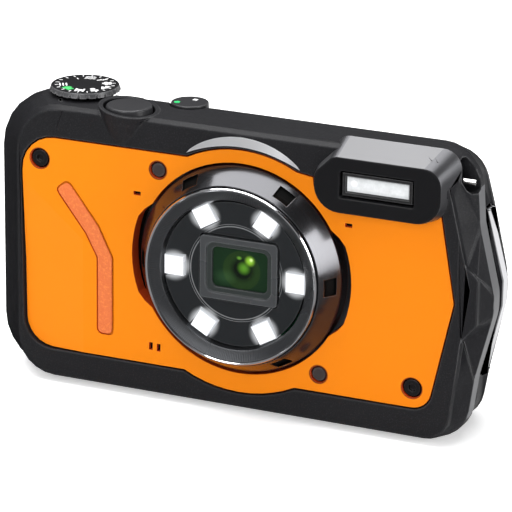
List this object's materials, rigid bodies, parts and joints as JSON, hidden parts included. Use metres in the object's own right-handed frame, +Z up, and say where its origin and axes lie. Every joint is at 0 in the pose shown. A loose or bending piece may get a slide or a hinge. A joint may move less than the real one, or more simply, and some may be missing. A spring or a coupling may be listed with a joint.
{
  "type": "waterproof compact camera",
  "caption": "Rugged waterproof compact camera with a folded zoom lens behind a glass window, ring light, flash, turning mode dial, press buttons and a sealed side door",
  "frame": {"origin": "middle of the bounding box's base: the camera stands on its underside at z 0", "axes": "+X to the right of someone facing the lens, +Y from the lens to the monitor, +Z up; metres"},
  "size_m": [0.1182, 0.0332, 0.0672],
  "materials": {
    "front_shell": "fine-grained dark grey plastic",
    "rear_shell": "fine-grained dark grey plastic",
    "front_panel": "satin orange paint",
    "panel_screw_upper": "dark plated steel",
    "panel_screw_lower": "dark plated steel",
    "focus_lamp_window": "smoked clear plastic",
    "remote_window": "smoked clear plastic",
    "grip_strip": "grained orange-red rubber",
    "lens_ring_base": "glossy black",
    "lens_rim": "polished ring",
    "lens_barrel": "fine knurled black",
    "ring_light_bowl": "glossy black",
    "light_guide": "clear to milky white light guide",
    "window_frame": "black plastic",
    "lens_window": "coated glass over a dark inside",
    "flash_window": "clear plastic with fine ribs",
    "flash_reflector": "bright folded sheet",
    "flash_capacitor": "black sleeve",
    "mode_dial": "black, knurled rim",
    "shutter_button": "satin black",
    "power_button": "satin black",
    "top_switch_board": "green circuit board",
    "strap_bar": "polished steel pin",
    "side_trim_bar": "polished metal bar",
    "side_door": "fine-grained dark grey plastic",
    "hinge_pin": "plain steel",
    "door_seal": "soft silicone",
    "lock_slider": "satin orange-red",
    "battery_bay": "black plastic",
    "battery": "black wrap",
    "memory_card": "dark plastic",
    "speaker": "dark can",
    "lens_unit_case": "black glass-filled plastic",
    "objective_lens": "coated glass",
    "prism": "clear glass",
    "guide_rod_upper": "ground steel",
    "guide_rod_lower": "ground steel",
    "lead_screw": "plain brass",
    "zoom_motor": "plated can",
    "zoom_carriage": "black plastic",
    "zoom_lens": "coated glass",
    "image_sensor": "sensor under cover glass",
    "main_board": "green circuit board",
    "chassis_plate": "pressed sheet steel",
    "monitor_panel": "display module",
    "monitor_window": "glossy black cover",
    "zoom_rocker": "satin black",
    "rear_screw_1": "black plated steel",
    "rear_screw_2": "black plated steel",
    "rear_screw_3": "black plated steel",
    "tripod_socket": "machined aluminium",
    "playback_button": "satin black",
    "movie_button": "satin black",
    "menu_button": "satin black",
    "delete_button": "satin black",
    "ok_button": "satin black",
    "pad_left": "satin black",
    "pad_up": "satin black",
    "pad_right": "satin black",
    "pad_down": "satin black"
  },
  "bodies": {
    "camera_body": {"front_shell": "front_shell", "rear_shell": "rear_shell", "front_panel": "front_panel", "panel_screw_upper": "panel_screw_upper", "panel_screw_lower": "panel_screw_lower", "focus_lamp_window": "focus_lamp_window", "remote_window": "remote_window", "grip_strip": "grip_strip", "lens_ring_base": "lens_ring_base", "lens_rim": "lens_rim", "lens_barrel": "lens_barrel", "ring_light_bowl": "ring_light_bowl", "light_guide": "light_guide", "window_frame": "window_frame", "lens_window": "lens_window", "flash_window": "flash_window", "flash_reflector": "flash_reflector", "flash_capacitor": "flash_capacitor", "top_switch_board": "top_switch_board", "strap_bar": "strap_bar", "side_trim_bar": "side_trim_bar", "hinge_pin": "hinge_pin", "battery_bay": "battery_bay", "battery": "battery", "memory_card": "memory_card", "speaker": "speaker", "lens_unit_case": "lens_unit_case", "objective_lens": "objective_lens", "prism": "prism", "guide_rod_upper": "guide_rod_upper", "guide_rod_lower": "guide_rod_lower", "zoom_motor": "zoom_motor", "image_sensor": "image_sensor", "main_board": "main_board", "chassis_plate": "chassis_plate", "monitor_panel": "monitor_panel", "monitor_window": "monitor_window", "rear_screw_1": "rear_screw_1", "rear_screw_2": "rear_screw_2", "rear_screw_3": "rear_screw_3", "tripod_socket": "tripod_socket"},
    "dial": {"mode_dial": "mode_dial"},
    "shutter": {"shutter_button": "shutter_button"},
    "power_key": {"power_button": "power_button"},
    "playback_key": {"playback_button": "playback_button"},
    "movie_key": {"movie_button": "movie_button"},
    "menu_key": {"menu_button": "menu_button"},
    "delete_key": {"delete_button": "delete_button"},
    "ok_key": {"ok_button": "ok_button"},
    "left_key": {"pad_left": "pad_left"},
    "up_key": {"pad_up": "pad_up"},
    "right_key": {"pad_right": "pad_right"},
    "down_key": {"pad_down": "pad_down"},
    "rocker": {"zoom_rocker": "zoom_rocker"},
    "door": {"side_door": "side_door", "door_seal": "door_seal"},
    "door_lock": {"lock_slider": "lock_slider"},
    "screw": {"lead_screw": "lead_screw"},
    "carriage": {"zoom_carriage": "zoom_carriage", "zoom_lens": "zoom_lens"}
  },
  "joints": [
    {"name": "dial_turn", "type": "hinge", "parent": "camera_body", "child": "dial", "pos_m": [-0.0401, 0.00095, 0.064], "axis": [0, 0, 1], "continuous": true},
    {"name": "shutter_press", "type": "slide", "parent": "camera_body", "child": "shutter", "axis": [0, 0, -1], "range_m": [0, 0.0006], "stiffness_N_per_m": 450, "springref_m": -0.0006},
    {"name": "power_press", "type": "slide", "parent": "camera_body", "child": "power_key", "axis": [0, 0, -1], "range_m": [0, 0.0005], "stiffness_N_per_m": 450, "springref_m": -0.0006},
    {"name": "playback_press", "type": "slide", "parent": "camera_body", "child": "playback_key", "axis": [0, -1, 0], "range_m": [0, 0.0004], "stiffness_N_per_m": 450, "springref_m": -0.0006},
    {"name": "movie_press", "type": "slide", "parent": "camera_body", "child": "movie_key", "axis": [0, -1, 0], "range_m": [0, 0.0004], "stiffness_N_per_m": 450, "springref_m": -0.0006},
    {"name": "menu_press", "type": "slide", "parent": "camera_body", "child": "menu_key", "axis": [0, -1, 0], "range_m": [0, 0.0004], "stiffness_N_per_m": 450, "springref_m": -0.0006},
    {"name": "delete_press", "type": "slide", "parent": "camera_body", "child": "delete_key", "axis": [0, -1, 0], "range_m": [0, 0.0004], "stiffness_N_per_m": 450, "springref_m": -0.0006},
    {"name": "ok_press", "type": "slide", "parent": "camera_body", "child": "ok_key", "axis": [0, -1, 0], "range_m": [0, 0.0004], "stiffness_N_per_m": 450, "springref_m": -0.0006},
    {"name": "left_press", "type": "slide", "parent": "camera_body", "child": "left_key", "axis": [0, -1, 0], "range_m": [0, 0.0004], "stiffness_N_per_m": 450, "springref_m": -0.0006},
    {"name": "up_press", "type": "slide", "parent": "camera_body", "child": "up_key", "axis": [0, -1, 0], "range_m": [0, 0.0004], "stiffness_N_per_m": 450, "springref_m": -0.0006},
    {"name": "right_press", "type": "slide", "parent": "camera_body", "child": "right_key", "axis": [0, -1, 0], "range_m": [0, 0.0004], "stiffness_N_per_m": 450, "springref_m": -0.0006},
    {"name": "down_press", "type": "slide", "parent": "camera_body", "child": "down_key", "axis": [0, -1, 0], "range_m": [0, 0.0004], "stiffness_N_per_m": 450, "springref_m": -0.0006},
    {"name": "zoom_rock", "type": "hinge", "parent": "camera_body", "child": "rocker", "pos_m": [-0.038, 0.01365, 0.053], "axis": [0, 0, 1], "range_deg": [-3, 3], "stiffness_Nm_per_rad": 0.05},
    {"name": "door_swing", "type": "hinge", "parent": "camera_body", "child": "door", "pos_m": [-0.058, -0.00105, 0.031], "axis": [0, 0, 1], "range_deg": [0, 95]},
    {"name": "lock_slide", "type": "slide", "parent": "door", "child": "door_lock", "axis": [0, 0, 1], "range_m": [0, 0.003]},
    {"name": "screw_spin", "type": "hinge", "parent": "camera_body", "child": "screw", "pos_m": [0.012, 0.00605, 0.0266], "axis": [1, 0, 0], "range_deg": [0, 4321]},
    {"name": "zoom_slide", "type": "slide", "parent": "camera_body", "child": "carriage", "axis": [1, 0, 0], "range_m": [0, 0.024]}
  ],
  "couplings": [
    {"joint": "screw_spin", "follows": "zoom_slide", "rad_per_m": 3141.6}
  ]
}
